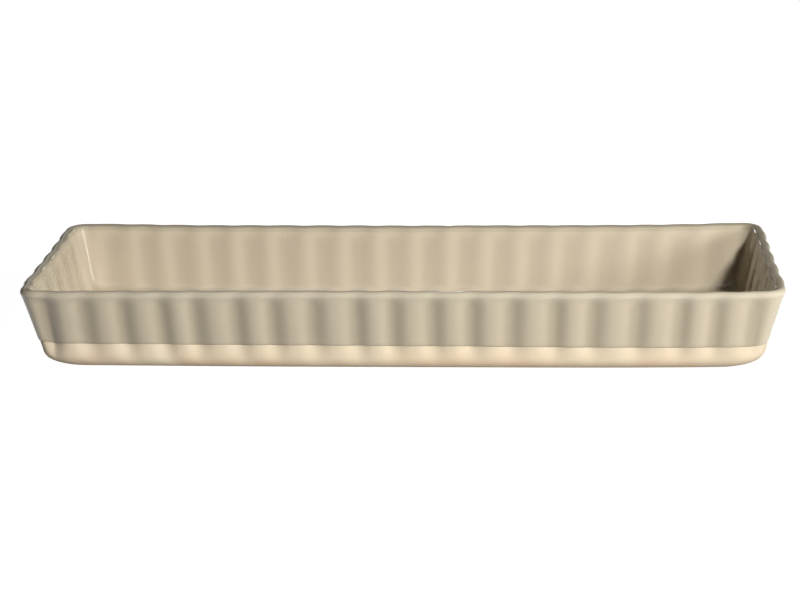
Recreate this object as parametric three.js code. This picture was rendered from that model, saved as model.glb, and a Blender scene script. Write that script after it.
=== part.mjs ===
// Slim rectangular tart dish with fluted walls: one stoneware body and the glaze fired onto it.
// Millimetres, +Z up. The origin is the middle of the underside, and +X runs along the dish.
import * as THREE from "three";

// Outside size of the finished dish, over the glaze
const DISH_LENGTH = 360;
const DISH_WIDTH = 130;
const DISH_HEIGHT = 40;

// Clay body
const WALL = 4.2; // clay across the rim, and down the wall
const FLOOR = 5;
const WALL_LEAN = THREE.MathUtils.degToRad(13); // the walls lean out towards the rim
const BASE_ROUND = 9; // outside, from the wall into the underside
const INNER_ROUND = 8; // inside, from the wall into the floor
const FOOT_RING = 9; // width of the flat ring that the dish stands on
const FOOT_RECESS = 0.8; // the underside within that ring stands clear by this much

// Corners in plan, outside the clay unless the name says otherwise
const RIM_CORNER_RADIUS = 13.5;
const FOOT_CORNER_RADIUS = 13; // at the foot of the wall
const UNDERSIDE_CORNER_RADIUS = 19;
const FLOOR_CORNER_RADIUS = 12; // inside, at the edge of the floor

// Flutes: at the rim they fill the straight runs of the sides, and one flute goes round each corner.
// Towards the foot that one narrows to a share of the corner, and the others close up to it, so they
// stand nearly upright. Outside, they grow out of the smooth foot up to the glaze line.
const LONG_FLUTES = 18;
const SHORT_FLUTES = 5;
const FLUTE_DEPTH = 2; // crest to valley on the outer wall
const INNER_FLUTE_DEPTH = 1; // and on the inner wall, where they are softer
const RIM_WAVE = 0.8; // crest to valley that is left on the lip
const CORNER_FLUTE_AT_FOOT = 0.55; // share of the corner
const FLUTE_STEPS = 5; // a ring with no wave needs only one step for each flute
const CORNER_STEPS = 7;

// Lip: a smooth rounded edge, with the flutes running out under it
const LIP_ROUND = 1.4;
const LIP_FADE = 2.6;

// Glaze over the inside, the lip and the outer wall down to a line above the bare foot
const GLAZE = 0.5;
const GLAZE_SEAT = 0.1; // between the two solids, where glaze and clay are fused
const GLAZE_LINE = 13;

// Steps round each fillet
const BASE_STEPS = 3;
const INNER_STEPS = 2;

// The clay lies inside the finished dish by the coat of glaze
const COAT = GLAZE_SEAT + GLAZE;
const HALF_LENGTH = DISH_LENGTH / 2 - COAT;
const HALF_WIDTH = DISH_WIDTH / 2 - COAT;
const RIM_Z = DISH_HEIGHT - COAT;
const LIP_Z = RIM_Z - LIP_ROUND;
const WALL_TOP_Z = LIP_Z - LIP_FADE;

const UP = new THREE.Vector3(0, 0, 1);
const lean = { sin: Math.sin(WALL_LEAN), cos: Math.cos(WALL_LEAN), tan: Math.tan(WALL_LEAN) };

// How far a leaning wall has drawn in from the lip by the height z
const drawnIn = (z) => (LIP_Z - z) * lean.tan;

// Height and inset of the arcs' centres, and of the points where the arcs leave the walls
const BASE_TOP_Z = BASE_ROUND * (1 - lean.sin);
const BASE_CENTRE = { inset: drawnIn(BASE_TOP_Z) + BASE_ROUND * lean.cos, z: BASE_ROUND };
const INNER_TOP_Z = FLOOR + INNER_ROUND * (1 - lean.sin);
const INNER_CENTRE = {
  inset: WALL + drawnIn(INNER_TOP_Z) + INNER_ROUND * lean.cos,
  z: FLOOR + INNER_ROUND,
};

// Corner of the wall at the height z, from its foot to the lip, on a face that lies off the clay's
// outside by some distance
function wallCorner(z, off) {
  const up = (z - BASE_TOP_Z) / (LIP_Z - BASE_TOP_Z);
  return {
    corner: THREE.MathUtils.lerp(FOOT_CORNER_RADIUS, RIM_CORNER_RADIUS, up) + off,
    share: THREE.MathUtils.lerp(CORNER_FLUTE_AT_FOOT, 1, up),
  };
}

// A fluted rounded rectangle at one height. The inset is measured in from the clay's outline at the
// lip, the wave is the flute's depth, the corner is the radius in plan, and the share is how much of
// that corner its own flute takes. Each point knows where the edge after it has its middle, counted
// in flutes round the dish.
function ringPoints({ inset, z, wave, corner, share }) {
  const run = { x: HALF_LENGTH - inset - corner, y: HALF_WIDTH - inset - corner };
  const arc = (corner * Math.PI) / 2;
  const creep = (arc * (1 - share)) / 2; // the side flutes run this far onto the corners
  const fluteSteps = wave > 0 ? FLUTE_STEPS : 1;
  const points = [];
  let flute = 0;
  for (let side = 0; side < 4; side++) {
    const short = side % 2 === 0;
    const half = short ? run.y : run.x;
    const reach = short ? run.x : run.y;
    const turn = (side * Math.PI) / 2;
    const fluteRow = (count, steps, from, to) => {
      for (let step = 0; step < count * steps; step++) {
        const along = THREE.MathUtils.lerp(from, to, step / (count * steps));
        const straight = THREE.MathUtils.clamp(along, -half, half);
        const bend = (along - straight) / corner;
        const radius = corner - (wave * (1 + Math.cos((2 * Math.PI * step) / steps))) / 2;
        const out = reach + radius * Math.cos(bend);
        const across = straight + radius * Math.sin(bend);
        const at = new THREE.Vector3(out, across, z).applyAxisAngle(UP, turn);
        points.push({ at, edgeMiddle: flute + (step + 0.5) / steps });
      }
      flute += count;
    };
    const end = half + creep;
    fluteRow(short ? SHORT_FLUTES : LONG_FLUTES, fluteSteps, -end, end);
    fluteRow(1, CORNER_STEPS, end, end + arc * share);
  }
  return points;
}

// Triangles between two rings of points. Each takes the edge whose middle comes next round the dish,
// so faces that lie side by side fold alike, and a fluted ring can meet a plain one with fewer points.
function strip(lower, upper) {
  const triangles = [];
  let [i, j] = [0, 0];
  while (i < lower.length || j < upper.length) {
    const [a, b] = [lower[i % lower.length], upper[j % upper.length]];
    const onLower = j === upper.length || (i < lower.length && a.edgeMiddle <= b.edgeMiddle);
    if (onLower) i += 1;
    else j += 1;
    triangles.push([a, onLower ? lower[i % lower.length] : upper[j % upper.length], b]);
  }
  return triangles;
}

// A flat face inside a ring of points
function disc(loop) {
  const middle = { at: new THREE.Vector3(0, 0, loop[0].at.z) };
  return loop.map((point, i) => [middle, point, loop[(i + 1) % loop.length]]);
}

// A skin through a row of rings, closed by a flat face inside the last
function skin(loops) {
  return [...loops.slice(1).flatMap((loop, row) => strip(loops[row], loop)), ...disc(loops.at(-1))];
}

const turned = (triangles) => triangles.map(([a, b, c]) => [a, c, b]);

function namedMesh(name, triangles, material) {
  const geometry = new THREE.BufferGeometry().setFromPoints(triangles.flat().map((point) => point.at));
  geometry.computeVertexNormals();
  const mesh = new THREE.Mesh(geometry, material);
  mesh.name = name;
  return mesh;
}

// A ring of the outer wall, no lower than the glaze line, a coat's thickness off the clay
function wallRing(z, coat) {
  return { inset: drawnIn(z) - coat / lean.cos, z, wave: FLUTE_DEPTH, ...wallCorner(z, coat) };
}

// Rings of the surface that lies a coat's thickness off the clay, from the top of the outer wall over
// the lip, down the inner wall and out over the floor
function coveredRings(coat) {
  const lipRing = (inset, z) => ({ inset, z, wave: RIM_WAVE, ...wallCorner(LIP_Z, -inset) });
  const inside = wallCorner(INNER_TOP_Z, -WALL - coat);
  const rings = [
    wallRing(WALL_TOP_Z, coat),
    lipRing(-coat, LIP_Z),
    lipRing(LIP_ROUND - coat, RIM_Z + coat),
    lipRing(WALL - LIP_ROUND + coat, RIM_Z + coat),
    lipRing(WALL + coat, LIP_Z),
  ];
  const radius = INNER_ROUND - coat;
  for (let step = 0; step <= INNER_STEPS; step++) {
    const down = step / INNER_STEPS;
    const bend = THREE.MathUtils.lerp(WALL_LEAN, Math.PI / 2, down);
    rings.push({
      inset: INNER_CENTRE.inset - radius * Math.cos(bend),
      z: INNER_CENTRE.z - radius * Math.sin(bend),
      wave: INNER_FLUTE_DEPTH * (1 - down),
      corner: THREE.MathUtils.lerp(inside.corner, FLOOR_CORNER_RADIUS - coat, down),
      share: inside.share,
    });
  }
  return rings;
}

// Underside: the recess, the flat foot ring, then the round up to the foot of the outer wall
function baseRings() {
  const foot = { wave: 0, corner: UNDERSIDE_CORNER_RADIUS, share: CORNER_FLUTE_AT_FOOT };
  const footInner = BASE_CENTRE.inset + FOOT_RING;
  const rings = [
    { ...foot, inset: footInner + FOOT_RECESS, z: FOOT_RECESS },
    { ...foot, inset: footInner, z: 0 },
  ];
  for (let step = 0; step <= BASE_STEPS; step++) {
    const up = step / BASE_STEPS;
    const bend = THREE.MathUtils.lerp(Math.PI / 2, WALL_LEAN, up);
    const z = BASE_CENTRE.z - BASE_ROUND * Math.sin(bend);
    rings.push({
      ...foot,
      inset: BASE_CENTRE.inset - BASE_ROUND * Math.cos(bend),
      z,
      wave: FLUTE_DEPTH * THREE.MathUtils.smoothstep(z, 0, GLAZE_LINE),
      corner: THREE.MathUtils.lerp(UNDERSIDE_CORNER_RADIUS, FOOT_CORNER_RADIUS, up),
    });
  }
  return rings;
}

// The fired clay, bare below the glaze line and on the underside
function clayBody() {
  const material = new THREE.MeshStandardMaterial({ color: 0xe6cfa9, roughness: 0.9, metalness: 0 });
  const loops = [...baseRings(), wallRing(GLAZE_LINE, 0), ...coveredRings(0)].map(ringPoints);
  return namedMesh("clay_body", [...turned(disc(loops[0])), ...skin(loops)], material);
}

// The glaze: the face that shows, its own face next to the clay, and the edge at the glaze line
function glazeCoat() {
  const material = new THREE.MeshStandardMaterial({ color: 0xb9ad95, roughness: 0.15, metalness: 0 });
  const loops = (coat) => [wallRing(GLAZE_LINE, coat), ...coveredRings(coat)].map(ringPoints);
  const seat = loops(GLAZE_SEAT);
  const face = loops(COAT);
  const triangles = [...skin(face), ...turned(skin(seat)), ...strip(seat[0], face[0])];
  return namedMesh("glaze_coat", triangles, material);
}

const dish = new THREE.Group();
dish.name = "tart_dish";
dish.add(clayBody(), glazeCoat());

export default dish;
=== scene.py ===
import math

import bpy
import numpy as np
from mathutils import Matrix, Vector, noise


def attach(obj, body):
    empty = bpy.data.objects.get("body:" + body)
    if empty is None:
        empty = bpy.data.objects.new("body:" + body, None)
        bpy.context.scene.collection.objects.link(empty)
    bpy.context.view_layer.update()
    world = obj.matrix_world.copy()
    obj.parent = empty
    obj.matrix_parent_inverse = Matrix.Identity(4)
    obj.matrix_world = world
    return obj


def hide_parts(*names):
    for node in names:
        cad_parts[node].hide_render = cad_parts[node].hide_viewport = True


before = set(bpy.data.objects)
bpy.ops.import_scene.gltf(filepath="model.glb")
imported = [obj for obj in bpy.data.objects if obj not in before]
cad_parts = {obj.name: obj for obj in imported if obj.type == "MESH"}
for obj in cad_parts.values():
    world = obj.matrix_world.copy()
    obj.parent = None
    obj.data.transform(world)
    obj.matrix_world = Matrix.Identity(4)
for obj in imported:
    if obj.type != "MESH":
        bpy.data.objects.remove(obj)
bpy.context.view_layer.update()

# Clay body: one stoneware shell, pressed in a mould with leaning fluted walls, a smooth lip and a
# rounded foot, then fired. The clay stays bare below the glaze line and on the underside, where a
# shallow recess leaves a flat ring to stand on. Sizes are in millimetres.
DISH_LENGTH, DISH_WIDTH, DISH_HEIGHT = 360.0, 130.0, 40.0
WALL, FLOOR = 4.2, 5.0
WALL_LEAN = math.radians(13)
BASE_ROUND, INNER_ROUND = 9.0, 8.0
FOOT_RING, FOOT_RECESS = 9.0, 0.8
RIM_CORNER, FOOT_CORNER, UNDERSIDE_CORNER, FLOOR_CORNER = 13.5, 13.0, 17.5, 12.0  # radii in plan
LONG_FLUTES, SHORT_FLUTES = 18, 5
FLUTE_DEPTH, INNER_FLUTE_DEPTH, RIM_WAVE = 2.0, 0.8, 0.8
FLUTE_FULL = 16.0  # the flutes grow out of the foot up to this height
VALLEY_SHARP = 1.4  # at 1 the valleys would be as broad as the crests
CORNER_FLUTE_AT_FOOT = 0.55  # share of the corner that its own flute takes there
LIP_ROUND, LIP_STEPS = 1.4, 6
LIP_FADE = 4.5  # the flutes run out over this height under the lip
RIM_SLOPE = math.radians(12)  # the top of the rim slopes down inwards
GLAZE, GLAZE_SEAT, GLAZE_LINE = 0.5, 0.1, 13.0
COAT = GLAZE + GLAZE_SEAT
HALF_LENGTH = DISH_LENGTH / 2 - COAT
HALF_WIDTH = DISH_WIDTH / 2 - COAT
RIM_Z = DISH_HEIGHT - COAT
LIP_Z = RIM_Z - LIP_ROUND
BASE_TOP_Z = BASE_ROUND * (1 - math.sin(WALL_LEAN))
INNER_TOP_Z = FLOOR + INNER_ROUND * (1 - math.sin(WALL_LEAN))


def lerp(a, b, share):
    return a + (b - a) * share


def ease(share):
    share = np.clip(share, 0, 1)
    return share * share * (3 - 2 * share)


def drawn_in(z):
    """How far a leaning wall has drawn in from the lip by the height z."""
    return (LIP_Z - z) * math.tan(WALL_LEAN)


BASE_INSET = drawn_in(BASE_TOP_Z) + BASE_ROUND * math.cos(WALL_LEAN)
INNER_INSET = WALL + drawn_in(INNER_TOP_Z) + INNER_ROUND * math.cos(WALL_LEAN)

# No two flutes are quite alike. On the front the valleys stand off even spacing by these distances.
FRONT_SHIFTS = (0, 0.6, -0.2, 0, -3.1, -1.7, -3.3, -2.8, -0.7, -2.5,
                -2.0, -2.7, -2.3, -0.6, -1.6, 0.6, 2.2, -0.4, -1.2)
FLUTE_JITTER = 0.05  # of a flute's width
DEPTH_JITTER = 0.10
chance = np.random.default_rng(7)
valleys = [np.linspace(0, 1, count + 1) for count in (SHORT_FLUTES, LONG_FLUTES) * 2]
for line in valleys:
    line[1:-1] += chance.uniform(-FLUTE_JITTER, FLUTE_JITTER, len(line) - 2) * (line[1] - line[0])
valleys[3] = np.linspace(0, 1, LONG_FLUTES + 1) + np.array(FRONT_SHIFTS) / (DISH_LENGTH - 2 * RIM_CORNER)
depths = [chance.uniform(1 - DEPTH_JITTER, 1, len(line)) for line in valleys]
depths[2][-1], depths[3][:2] = 1.7, (1.8, 0.85)  # the front left corner stands out most


class Stations:
    """Where the points of a ring lie round the dish: side, share of the side or corner, how near the
    bottom of a valley (hollow), and how deep in it (deep). Points are counted in flutes, so rings of
    any size match."""

    def __init__(self, flute_steps, corner_steps):
        rows = []
        flute = 0
        for side in range(4):
            count = len(valleys[side]) - 1
            for on_corner, number, steps in ((False, count, flute_steps), (True, 1, corner_steps)):
                share = np.arange(number * steps) / (number * steps)
                if on_corner:
                    turn = share
                    depth = lerp(depths[side][-1], depths[(side + 1) % 4][0], share)
                else:
                    turn = np.interp(share, valleys[side], np.arange(count + 1))
                    depth = np.interp(share, valleys[side], depths[side])
                pool = ((1 + np.cos(2 * np.pi * turn)) / 2) ** VALLEY_SHARP
                middle = flute + (np.arange(number * steps) + 0.5) / steps
                rows.append(np.stack([np.full(len(share), side), np.full(len(share), on_corner), share,
                                      pool, pool * depth, middle]))
                flute += number
        (self.side, self.corner, self.share, self.pool, self.deep,
         self.edge_middle) = np.concatenate(rows, axis=1)
        self.corner_steps, self.flute_steps = corner_steps, flute_steps
        self.count = len(self.side)

    def ring(self, inset, z, wave, corner, share):
        """A fluted rounded rectangle. Each value may differ from point to point."""
        short = self.side % 2 == 0
        run_x, run_y = HALF_LENGTH - inset - corner, HALF_WIDTH - inset - corner
        half, reach = np.where(short, run_y, run_x), np.where(short, run_x, run_y)
        arc = corner * math.pi / 2
        end = half + arc * (1 - share) / 2
        along = np.where(self.corner > 0, end + arc * share * self.share, lerp(-end, end, self.share))
        straight = np.clip(along, -half, half)
        bend = (along - straight) / corner
        radius = corner - wave * self.deep
        out, across = reach + radius * np.cos(bend), straight + radius * np.sin(bend)
        turn = self.side * math.pi / 2
        x = out * np.cos(turn) - across * np.sin(turn)
        y = out * np.sin(turn) + across * np.cos(turn)
        return np.stack([x, y, np.broadcast_to(z, x.shape)], axis=1)


FINE = Stations(12, 24)
COARSE = Stations(2, 4)


def wall_corner(z, off):
    """Corner radius of the wall at the height z, and the share that its own flute takes."""
    up = (z - BASE_TOP_Z) / (LIP_Z - BASE_TOP_Z)
    return lerp(FOOT_CORNER, RIM_CORNER, up) + off, lerp(CORNER_FLUTE_AT_FOOT, 1, up)


def flute_growth(z):
    return ease(z / FLUTE_FULL)


def wall_ring(z, coat):
    """A ring of the outer wall, a coat's thickness off the clay."""
    wave = lerp(RIM_WAVE, FLUTE_DEPTH, ease((LIP_Z - z) / LIP_FADE)) * flute_growth(z)
    return FINE.ring(drawn_in(z) - coat / math.cos(WALL_LEAN), z, wave, *wall_corner(z, coat))


UNDER_LIP = LIP_Z - LIP_FADE * np.linspace(0.85, 0.25, 5)  # heights of the rings just under the lip
PLAIN_FLOOR = INNER_INSET + 8  # inset of the plain middle of the floor
FLOOR_RISE = 2.5  # the floor comes up this far by the ends of the dish


def risen(ring, share=1.0):
    ring[:, 2] += share * FLOOR_RISE * (ring[:, 0] / HALF_LENGTH) ** 2
    return ring


def covered_rings(coat):
    """Rings a coat's thickness off the clay, over the lip, down the inner wall and onto the floor."""
    rings = []
    lip_corner, lip_share = wall_corner(LIP_Z, 0)
    round_out = LIP_ROUND + coat
    rim_top = math.pi / 2 + RIM_SLOPE
    inner_lip_z = LIP_Z - (WALL - 2 * LIP_ROUND) * math.tan(RIM_SLOPE)
    off_wall = LIP_ROUND / math.cos(WALL_LEAN)
    inner_off = WALL + drawn_in(inner_lip_z) - off_wall
    for centre, centre_z, start, end in ((off_wall, LIP_Z, -WALL_LEAN, rim_top),
                                         (inner_off, inner_lip_z, rim_top, math.pi - WALL_LEAN)):
        for angle in np.linspace(start, end, LIP_STEPS):
            inset = centre - round_out * math.cos(angle)
            z = centre_z + round_out * math.sin(angle)
            rings.append(FINE.ring(inset, z, RIM_WAVE, lip_corner - inset, lip_share))
    for z in np.concatenate([LIP_Z - LIP_FADE * np.linspace(0.2, 1, 6),
                             np.linspace(LIP_Z - LIP_FADE, INNER_TOP_Z, 12)[1:]]):
        wave = lerp(RIM_WAVE, INNER_FLUTE_DEPTH, ease((LIP_Z - z) / LIP_FADE))
        inset = WALL + drawn_in(z) + coat / math.cos(WALL_LEAN)
        rings.append(FINE.ring(inset, z, wave, *wall_corner(z, -WALL - coat)))
    radius = INNER_ROUND - coat
    corner, share = wall_corner(INNER_TOP_Z, -WALL - coat)
    for down in np.linspace(0, 1, 10)[1:]:
        angle = lerp(WALL_LEAN, math.pi / 2, down)
        ring = FINE.ring(INNER_INSET - radius * math.cos(angle),
                         FLOOR + INNER_ROUND - radius * math.sin(angle),
                         INNER_FLUTE_DEPTH * (1 - ease(2 * down)),
                         lerp(corner, FLOOR_CORNER - coat, down), share)
        rings.append(risen(ring, down))
    return rings


def base_rings():
    """The foot ring and the round up to the outer wall."""
    rings = []
    for up in np.linspace(0, 1, 11):
        angle = lerp(math.pi / 2, WALL_LEAN, up)
        z = BASE_ROUND - BASE_ROUND * math.sin(angle)
        rings.append(FINE.ring(BASE_INSET - BASE_ROUND * math.cos(angle), z,
                               FLUTE_DEPTH * flute_growth(z),
                               lerp(UNDERSIDE_CORNER, FOOT_CORNER, up), CORNER_FLUTE_AT_FOOT))
    return rings


# The dish pulled a little out of true in the kiln: its ends stand higher, the left one less, the
# front rim stands higher in the middle, and the short walls lean in at theirs
LEFT_END_LIFT, RIGHT_END_LIFT = 0.7, 1.3
FRONT_RIM_LIFT = 1.1
BACK_RIM_LIFT = 0.6
BACK_RIM_SAG = 0.35
LEFT_WALL_IN, RIGHT_WALL_IN = 1.3, 0.7
WOBBLE = 0.16
WOBBLE_SIZE = 26.0
WOBBLE_SHIFTS = [Vector(shift) for shift in ((0, 0, 0), (17, 5, 31), (43, 29, 11))]


def kiln_warp(points):
    x, y, z = points.T
    height = np.clip(z / DISH_HEIGHT, 0, 1)
    along = np.abs(x) / HALF_LENGTH
    ends = np.where(x > 0, RIGHT_END_LIFT * along ** 4, LEFT_END_LIFT * along ** 2)
    front_rim = FRONT_RIM_LIFT * (1 - along ** 2)
    back_rim = BACK_RIM_LIFT * along ** 4 - BACK_RIM_SAG
    lift = ends + height * lerp(front_rim, back_rim, ease((y + 20) / 80))
    lean_in = height * along ** 8 * np.clip(1 - (y / HALF_WIDTH) ** 2, 0, 1)
    wobble = np.array([[noise.noise(Vector(p) / WOBBLE_SIZE + shift) for shift in WOBBLE_SHIFTS]
                       for p in points])
    moved = points + WOBBLE * wobble * height[:, None]
    moved[:, 0] += lean_in * np.where(x > 0, -RIGHT_WALL_IN, LEFT_WALL_IN)
    moved[:, 2] += lift
    return moved


class Shell:
    """Rings of points joined into one clean mesh, a quad at a time."""

    def __init__(self):
        self.points, self.faces, self.deep, self.inside, self.size = [], [], [], [], 0

    def add(self, ring, deep, inside=0.0):
        self.points.append(ring)
        self.deep.append(np.broadcast_to(deep, len(ring)))
        self.inside.append(np.full(len(ring), inside))
        self.size += len(ring)
        return np.arange(self.size - len(ring), self.size)

    def face(self, *corners, turned=False):
        self.faces.append(corners[::-1] if turned else corners)

    def band(self, lower, upper, turned=False):
        for i in range(len(lower)):
            j = (i + 1) % len(lower)
            self.face(lower[i], lower[j], upper[j], upper[i], turned=turned)

    def narrow(self, lower, upper, turned=False):
        """From a finely stepped ring to a coarse one."""
        i = j = 0
        while i < len(lower) or j < len(upper):
            a, b = lower[i % len(lower)], upper[j % len(upper)]
            on_lower = j == len(upper) or (
                i < len(lower) and FINE.edge_middle[i] <= COARSE.edge_middle[j])
            i, j = (i + 1, j) if on_lower else (i, j + 1)
            self.face(a, lower[i % len(lower)] if on_lower else upper[j % len(upper)], b, turned=turned)

    def flat(self, loop, turned=False, inside=0.0):
        """A grid of quads inside a coarse ring, whose sides and half corners face each other."""
        half = COARSE.corner_steps // 2
        columns = LONG_FLUTES * COARSE.flute_steps + 2 * half
        rows = SHORT_FLUTES * COARSE.flute_steps + 2 * half
        turn = np.roll(loop, half)
        points = np.concatenate(self.points)
        right, top = turn[:rows + 1], turn[rows:rows + columns + 1]
        left, bottom = turn[rows + columns:2 * rows + columns + 1], turn[2 * rows + columns:]
        bottom = np.append(bottom, turn[0])
        left, top = left[::-1], top[::-1]
        grid = np.zeros((rows + 1, columns + 1), int)
        grid[0], grid[-1], grid[:, 0], grid[:, -1] = bottom, top, left, right
        inner = []
        for r in range(1, rows):
            v = r / rows
            for c in range(1, columns):
                u = c / columns
                edge = (lerp(points[bottom[c]], points[top[c]], v)
                        + lerp(points[left[r]], points[right[r]], u))
                ends = lerp(lerp(points[bottom[0]], points[bottom[-1]], u),
                            lerp(points[top[0]], points[top[-1]], u), v)
                inner.append(edge - ends)
        grid[1:-1, 1:-1] = self.add(np.array(inner), 0.0, inside).reshape(rows - 1, columns - 1)
        for r in range(rows):
            for c in range(columns):
                self.face(grid[r, c], grid[r, c + 1], grid[r + 1, c + 1], grid[r + 1, c], turned=turned)

    def piece(self, name):
        mesh = bpy.data.meshes.new(name)
        points = kiln_warp(np.concatenate(self.points)) * 0.001
        mesh.from_pydata(points.tolist(), [], [[int(i) for i in face] for face in self.faces])
        mesh.polygons.foreach_set("use_smooth", [True] * len(mesh.polygons))
        for mark, values in (("flute_valley", self.deep), ("inside", self.inside)):
            data = mesh.attributes.new(mark, "FLOAT", "POINT").data
            data.foreach_set("value", np.concatenate(values).astype(np.float32))
        mesh.validate()
        made = bpy.data.objects.new(name, mesh)
        bpy.context.scene.collection.objects.link(made)
        return made


clay = Shell()
foot_inner = BASE_INSET + FOOT_RING
foot_share = CORNER_FLUTE_AT_FOOT
recess = clay.add(COARSE.ring(foot_inner + 6, FOOT_RECESS, 0, UNDERSIDE_CORNER, foot_share), 0)
clay.flat(recess, turned=True)
below = None
# a soft step from the recess down to the foot ring
for inset, z in ((foot_inner + 2.2, FOOT_RECESS), (foot_inner + 1.6, FOOT_RECESS * 0.9),
                 (foot_inner + 0.6, FOOT_RECESS * 0.1), (foot_inner, 0)):
    ring = clay.add(FINE.ring(inset, z, 0, UNDERSIDE_CORNER, foot_share), 0)
    if below is None:
        clay.narrow(ring, recess, turned=True)
    else:
        clay.band(below, ring)
    below = ring
wall_heights = np.append(np.linspace(BASE_TOP_Z, LIP_Z - LIP_FADE, 14)[1:], UNDER_LIP)
clay_wall = [wall_ring(z, 0) for z in wall_heights]
for ring in [*base_rings(), *clay_wall, *covered_rings(0)]:
    ring = clay.add(ring, FINE.pool)
    clay.band(below, ring)
    below = ring
clay_floor = clay.add(risen(COARSE.ring(PLAIN_FLOOR, FLOOR, 0, FLOOR_CORNER, foot_share)), 0)
clay.narrow(below, clay_floor)
clay.flat(clay_floor)
clay_body = clay.piece("dish_clay")


def adder(tree):
    """A function that adds a node to the tree, with its settings and what its sockets take."""
    def add(kind, sockets=None, **settings):
        node = tree.nodes.new(kind)
        for key, value in settings.items():
            setattr(node, key, value)
        for socket, value in (sockets or {}).items():
            if isinstance(value, bpy.types.NodeSocket):
                tree.links.new(value, node.inputs[socket])
            else:
                node.inputs[socket].default_value = value
        return node
    return add


def mixed(add, factor, first, second):
    """The colour that lies between two others by a factor."""
    FACTOR, FIRST, SECOND, RESULT = 0, 6, 7, 2  # the Mix node's sockets for colours
    return add("ShaderNodeMix", {FACTOR: factor, FIRST: first, SECOND: second},
               data_type="RGBA").outputs[RESULT]


def ranged(add, value, low, high, to_low=0.0, to_high=1.0):
    return add("ShaderNodeMapRange", {"Value": value, "From Min": low, "From Max": high,
                                      "To Min": to_low, "To Max": to_high},
               interpolation_type="SMOOTHSTEP").outputs["Result"]


def kiln_mottle():
    """Soft clouds, scattered specks and fine grain, as firing leaves them in a ceramic."""
    group = bpy.data.node_groups.new("kiln_mottle", "ShaderNodeTree")
    for name in ("Cloud Scale", "Speck Scale"):
        group.interface.new_socket(name, in_out="INPUT", socket_type="NodeSocketFloat")
    for name in ("Cloud", "Speck", "Grain"):
        group.interface.new_socket(name, in_out="OUTPUT", socket_type="NodeSocketFloat")
    add = adder(group)
    given = add("NodeGroupInput").outputs
    place = add("ShaderNodeTexCoord").outputs["Object"]
    cloud = add("ShaderNodeTexNoise", {"Vector": place, "Scale": given["Cloud Scale"],
                                       "Detail": 3.0, "Roughness": 0.55}).outputs["Fac"]
    dots = add("ShaderNodeTexVoronoi", {"Vector": place, "Scale": given["Speck Scale"]})
    chosen = ranged(add, add("ShaderNodeSeparateColor", {"Color": dots.outputs["Color"]}).outputs[0],
                    0.80, 0.86)
    speck = add("ShaderNodeMath", {0: ranged(add, dots.outputs["Distance"], 0.10, 0.32, 1, 0), 1: chosen},
                operation="MULTIPLY").outputs[0]
    grain = add("ShaderNodeTexNoise", {"Vector": place, "Scale": given["Speck Scale"],
                                       "Detail": 5.0, "Roughness": 0.7}).outputs["Fac"]
    add("NodeGroupOutput", {"Cloud": ranged(add, cloud, 0.35, 0.68), "Speck": speck, "Grain": grain})
    return group


def new_material(name):
    material = bpy.data.materials.new(name)
    material.use_nodes = True
    return material, material.node_tree.nodes["Principled BSDF"], adder(material.node_tree)


mottle_group = kiln_mottle()
# cream clay with a fine pale grain, a pink blush towards the foot, paler at the left end of the dish
# and a little darker at the right
CLAY_CREAM = (0.73, 0.62, 0.45, 1)
CLAY_PALE = (0.815, 0.705, 0.53, 1)
CLAY_PEACH = (0.75, 0.56, 0.40, 1)
CLAY_DARKER = (0.62, 0.52, 0.385, 1)
CLAY_SPECK = (0.50, 0.38, 0.25, 1)
bare_clay, shader, add = new_material("bare_clay")
mottle = add("ShaderNodeGroup", node_tree=mottle_group)
mottle.inputs["Cloud Scale"].default_value = 42.0
mottle.inputs["Speck Scale"].default_value = 950.0
place = add("ShaderNodeSeparateXYZ", {"Vector": add("ShaderNodeTexCoord").outputs["Object"]}).outputs
low = ranged(add, place["Z"], 0.012, 0.002, 0.1, 0.8)
blush = add("ShaderNodeMath", {0: low, 1: mottle.outputs["Cloud"]}, operation="MULTIPLY").outputs[0]
colour = mixed(add, ranged(add, mottle.outputs["Grain"], 0.3, 0.7, 0.3, 0.7), CLAY_CREAM, CLAY_PALE)
colour = mixed(add, ranged(add, place["X"], -0.02, -0.17), colour, CLAY_PALE)
colour = mixed(add, ranged(add, place["X"], 0.02, 0.17, 0, 0.5), colour, CLAY_DARKER)
colour = mixed(add, blush, colour, CLAY_PEACH)
faint = add("ShaderNodeMath", {0: mottle.outputs["Speck"], 1: 0.25}, operation="MULTIPLY").outputs[0]
bare_clay.node_tree.links.new(mixed(add, faint, colour, CLAY_SPECK), shader.inputs["Base Color"])
bare_clay.node_tree.links.new(ranged(add, mottle.outputs["Grain"], 0.2, 0.8, 0.78, 0.92),
                              shader.inputs["Roughness"])
bump = add("ShaderNodeBump", {"Height": mottle.outputs["Grain"], "Strength": 0.15, "Distance": 0.0003})
bare_clay.node_tree.links.new(bump.outputs["Normal"], shader.inputs["Normal"])
shader.inputs["Specular IOR Level"].default_value = 0.3
clay_body.data.materials.append(bare_clay)
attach(clay_body, "root")
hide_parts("clay_body")
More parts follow.
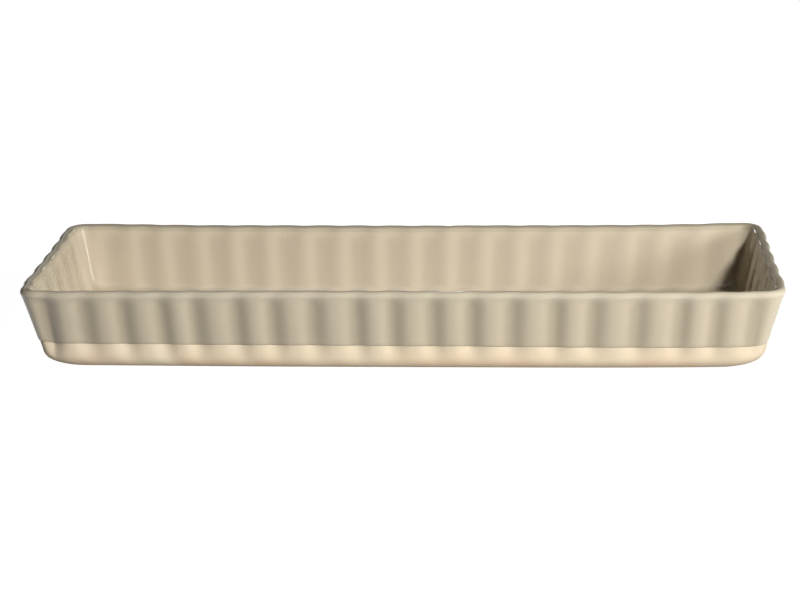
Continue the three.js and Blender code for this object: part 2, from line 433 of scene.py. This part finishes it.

# Glaze: a glossy grey-beige coat half a millimetre thick, dipped and fired onto the clay. It covers
# the inside, the lip and the outer wall, and ends in a soft rounded edge at a line that wavers round
# the foot. Its colour is darker in the valleys of the flutes, for pooled glaze and painted shade,
# paler over the lip, for thin glaze and painted light, and paler inside, as painted light.
LINE_FALL = 0.0036  # the line drops towards the right end
LINE_WAVER = 0.3
LINE_WAVER_SIZE = 24.0
LINE_SAG = 0.5  # it runs down this far in the valleys
POOL_AND_SHADE_FADE = 6.0  # below the lip, the darker valleys of pooled glaze and painted shade set in over this height
INNER_POOL_AND_SHADE = 0.4  # the darker valleys of pooled glaze and painted shade are less marked inside, where the crests of the outside are the valleys
LIP_THIN_AND_LIT, LIP_THIN_AND_LIT_DROP = 0.55, 2.0  # over the lip the glaze is thin and painted paler as painted light, down to this far below it
line_at = wall_ring(GLAZE_LINE, 0)
line_z = GLAZE_LINE - LINE_FALL * line_at[:, 0] - LINE_SAG * FINE.deep + LINE_WAVER * np.array(
    [noise.noise(Vector(p) / LINE_WAVER_SIZE) for p in line_at])
glaze = Shell()
edges = []
for coat, turned in ((GLAZE_SEAT, True), (COAT, False)):
    rows = []
    heights = [lerp(line_z, LIP_Z - LIP_FADE, share) for share in np.linspace(0.02, 1, 13)]
    for z in [*heights, *UNDER_LIP]:
        # paler near the lip: thin glaze and painted light
        thin_and_lit = LIP_THIN_AND_LIT * ease(1 - (LIP_Z - z) / LIP_THIN_AND_LIT_DROP)
        # darker in the valleys: pooled glaze and painted shade
        rows.append((wall_ring(z, coat), FINE.pool * ease((LIP_Z - z) / POOL_AND_SHADE_FADE) - thin_and_lit, 0.0))
    covered = covered_rings(coat)
    outer_lip, inner_lip = covered[:LIP_STEPS], covered[LIP_STEPS:2 * LIP_STEPS]
    rows += [(ring, -LIP_THIN_AND_LIT, 0.0) for ring in outer_lip]
    rows += [(ring, 0.0, 0.0) for ring in inner_lip]
    for ring in covered[2 * LIP_STEPS:]:
        # inside, darker where the outside has its crests: pooled glaze and painted shade
        tone_mark = (1 - FINE.pool) * INNER_POOL_AND_SHADE * ease((LIP_Z - ring[:, 2]) / POOL_AND_SHADE_FADE)
        rows.append((ring, tone_mark, 1.0))
    below = None
    for ring, tone_mark, inside in rows:
        ring = glaze.add(ring, tone_mark, inside)
        if below is None:
            edges.append(ring)
        else:
            glaze.band(below, ring, turned=turned)
        below = ring
    middle = COARSE.ring(PLAIN_FLOOR, FLOOR + coat, 0, FLOOR_CORNER - coat, foot_share)
    middle = glaze.add(risen(middle), 0, 1.0)
    glaze.narrow(below, middle, turned=turned)
    glaze.flat(middle, turned=turned, inside=1.0)
below = edges[0]
for share, rise in ((0.15, 0.0), (0.5, 0.05), (0.8, 0.18)):
    ring = glaze.add(wall_ring(line_z + rise, lerp(GLAZE_SEAT, COAT, share)), FINE.pool)
    glaze.band(below, ring)
    below = ring
glaze.band(below, edges[1])
glaze_coat = glaze.piece("dish_glaze")

GLAZE_BODY = (0.51, 0.445, 0.33, 1)
GLAZE_POOLED_AND_SHADED = (0.33, 0.28, 0.195, 1)
GLAZE_THIN_AND_LIT = (0.54, 0.487, 0.385, 1)
GLAZE_CLOUD = (0.53, 0.455, 0.335, 1)
GLAZE_INSIDE_LIT = (0.615, 0.53, 0.40, 1)
GLAZE_SPECK = (0.34, 0.27, 0.18, 1)
glaze_material, shader, add = new_material("glaze")
mottle = add("ShaderNodeGroup", node_tree=mottle_group)
mottle.inputs["Cloud Scale"].default_value = 55.0
mottle.inputs["Speck Scale"].default_value = 420.0
valley = add("ShaderNodeAttribute", attribute_name="flute_valley").outputs["Fac"]
inside = add("ShaderNodeAttribute", attribute_name="inside").outputs["Fac"]
place = add("ShaderNodeTexCoord").outputs["Object"]
colour = mixed(add, ranged(add, mottle.outputs["Cloud"], 0, 1, 0, 0.6), GLAZE_BODY, GLAZE_CLOUD)
# paler inside, as painted light
colour = mixed(add, inside, colour, GLAZE_INSIDE_LIT)
# paler over the lip: thin glaze and painted light
colour = mixed(add, ranged(add, valley, 0, -1), colour, GLAZE_THIN_AND_LIT)
# darker in the valleys of the flutes: pooled glaze and painted shade
colour = mixed(add, ranged(add, valley, 0, 1, 0, 0.65), colour, GLAZE_POOLED_AND_SHADED)
faint = add("ShaderNodeMath", {0: mottle.outputs["Speck"], 1: 0.12}, operation="MULTIPLY").outputs[0]
glaze_material.node_tree.links.new(mixed(add, faint, colour, GLAZE_SPECK), shader.inputs["Base Color"])
glaze_material.node_tree.links.new(ranged(add, mottle.outputs["Cloud"], 0, 1, 0.14, 0.20),
                                   shader.inputs["Roughness"])
ripple = add("ShaderNodeTexNoise", {"Vector": place, "Scale": 140.0, "Detail": 4.0, "Roughness": 0.65})
bump = add("ShaderNodeBump", {"Height": ripple.outputs["Fac"], "Strength": 0.3, "Distance": 0.0003})
# on the inner wall of the left end, towards the lip, the glaze has crawled and is left rough
axes = add("ShaderNodeSeparateXYZ", {"Vector": place}).outputs
crawled = inside
for edge in (ranged(add, axes["X"], -0.164, -0.168), ranged(add, axes["Y"], 0.048, 0.034),
             ranged(add, axes["Z"], 0.016, 0.032)):
    crawled = add("ShaderNodeMath", {0: crawled, 1: edge}, operation="MULTIPLY").outputs[0]
crawl = add("ShaderNodeTexNoise", {"Vector": place, "Scale": 600.0, "Detail": 2.0})
bump = add("ShaderNodeBump", {"Height": crawl.outputs["Fac"], "Strength": crawled, "Distance": 0.0008,
                              "Normal": bump.outputs["Normal"]})
glaze_material.node_tree.links.new(bump.outputs["Normal"], shader.inputs["Normal"])
shader.inputs["IOR"].default_value = 1.5
glaze_coat.data.materials.append(glaze_material)
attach(glaze_coat, "root")
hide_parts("glaze_coat")

# Studio: a plain pale floor, a small warm key lamp to the right of the camera, a cool one low at the
# right end, one low behind, and small lamps for the glints. A panel over the front shows only in the
# glaze. The camera stands where the photograph was taken from, with a long lens.
floor_mesh = bpy.data.meshes.new("studio_floor")
FLOOR_HALF = 12.0
floor_mesh.from_pydata([(-FLOOR_HALF, -FLOOR_HALF, -0.0002), (FLOOR_HALF, -FLOOR_HALF, -0.0002),
                        (FLOOR_HALF, FLOOR_HALF, -0.0002), (-FLOOR_HALF, FLOOR_HALF, -0.0002)],
                       [], [(0, 1, 2, 3)])
studio_floor = bpy.data.objects.new("studio_floor", floor_mesh)
bpy.context.scene.collection.objects.link(studio_floor)
floor_paint, shader, add = new_material("studio_floor_paint")
shader.inputs["Base Color"].default_value = (0.42, 0.42, 0.42, 1)
shader.inputs["Roughness"].default_value = 0.9
shader.inputs["Specular IOR Level"].default_value = 0.0
rays = add("ShaderNodeLightPath").outputs
seen = add("ShaderNodeMath", {0: rays["Is Camera Ray"], 1: rays["Is Glossy Ray"]}, operation="MAXIMUM")
seen = add("ShaderNodeMath", {0: seen.outputs[0], 1: rays["Is Transmission Ray"]}, operation="MAXIMUM")
glow = add("ShaderNodeMath", {0: seen.outputs[0], 1: 0.97}, operation="MULTIPLY")
shader.inputs["Emission Color"].default_value = (1, 1, 1, 1)
floor_paint.node_tree.links.new(glow.outputs[0], shader.inputs["Emission Strength"])
floor_mesh.materials.append(floor_paint)


def lamp(name, place, width, power, colour, glints=True, lights=True):
    """A round lamp aimed at the dish, which may show as a glint in the glaze, light the dish, or both."""
    data = bpy.data.lights.new(name, "AREA")
    data.shape = "DISK"
    data.size, data.energy, data.color = width, power, colour
    made = bpy.data.objects.new(name, data)
    made.location = place
    made.rotation_euler = (-Vector(place)).to_track_quat("-Z", "Y").to_euler()
    made.visible_glossy = glints
    made.visible_diffuse = lights
    bpy.context.scene.collection.objects.link(made)


lamp("key_lamp", (0.46, -0.93, 0.51), 0.115, 11.0, (1.0, 0.98, 0.95), glints=False)
lamp("side_lamp", (0.85, -0.38, 0.25), 0.2, 3.6, (0.96, 0.985, 1.0), glints=False)
lamp("glint_lamp", (1.5, -1.2, 0.72), 0.35, 4.5, (1.0, 1.0, 1.0))
lamp("back_lamp", (0.0, 0.60, 0.17), 0.03, 0.07, (1.0, 1.0, 1.0))
lamp("fill_lamp", (-0.5, 1.15, 0.03), 0.05, 11.0, (1.0, 0.98, 0.95), glints=False)
lamp("sky_lamp", (-0.48, 1.90, 0.72), 0.32, 0.13, (0.85, 0.93, 1.0))
lamp("ceiling_panel", (0.0, -1.1, 1.1), 1.2, 3.0, (1.0, 1.0, 1.0), lights=False)

world = bpy.data.worlds.new("studio_air")
bpy.context.scene.world = world
world.use_nodes = True
air = world.node_tree.nodes["Background"]
air.inputs["Color"].default_value = (0.92, 0.96, 1.0, 1)
air.inputs["Strength"].default_value = 0.02

FOCAL_PIXELS, IMAGE_WIDTH, SENSOR = 2197.8, 800, 36.0
CAMERA_AT = (0.06049, -1.03446, 0.32680)
YAW, PITCH, ROLL = -0.06111, 0.28938, -0.01577
forward = Vector((math.sin(YAW) * math.cos(PITCH), math.cos(YAW) * math.cos(PITCH), -math.sin(PITCH)))
level = Vector((math.cos(YAW), -math.sin(YAW), 0))
upright = level.cross(forward)
right = math.cos(ROLL) * level + math.sin(ROLL) * upright
up = -math.sin(ROLL) * level + math.cos(ROLL) * upright
camera = bpy.data.objects.new("camera", bpy.data.cameras.new("camera"))
camera.data.sensor_width = SENSOR
camera.data.lens = FOCAL_PIXELS * SENSOR / IMAGE_WIDTH
turn = Matrix((right, up, -forward)).transposed().to_4x4()
camera.matrix_world = Matrix.Translation(CAMERA_AT) @ turn
bpy.context.scene.collection.objects.link(camera)
bpy.context.scene.camera = camera
bpy.context.scene.view_settings.view_transform = "Standard"
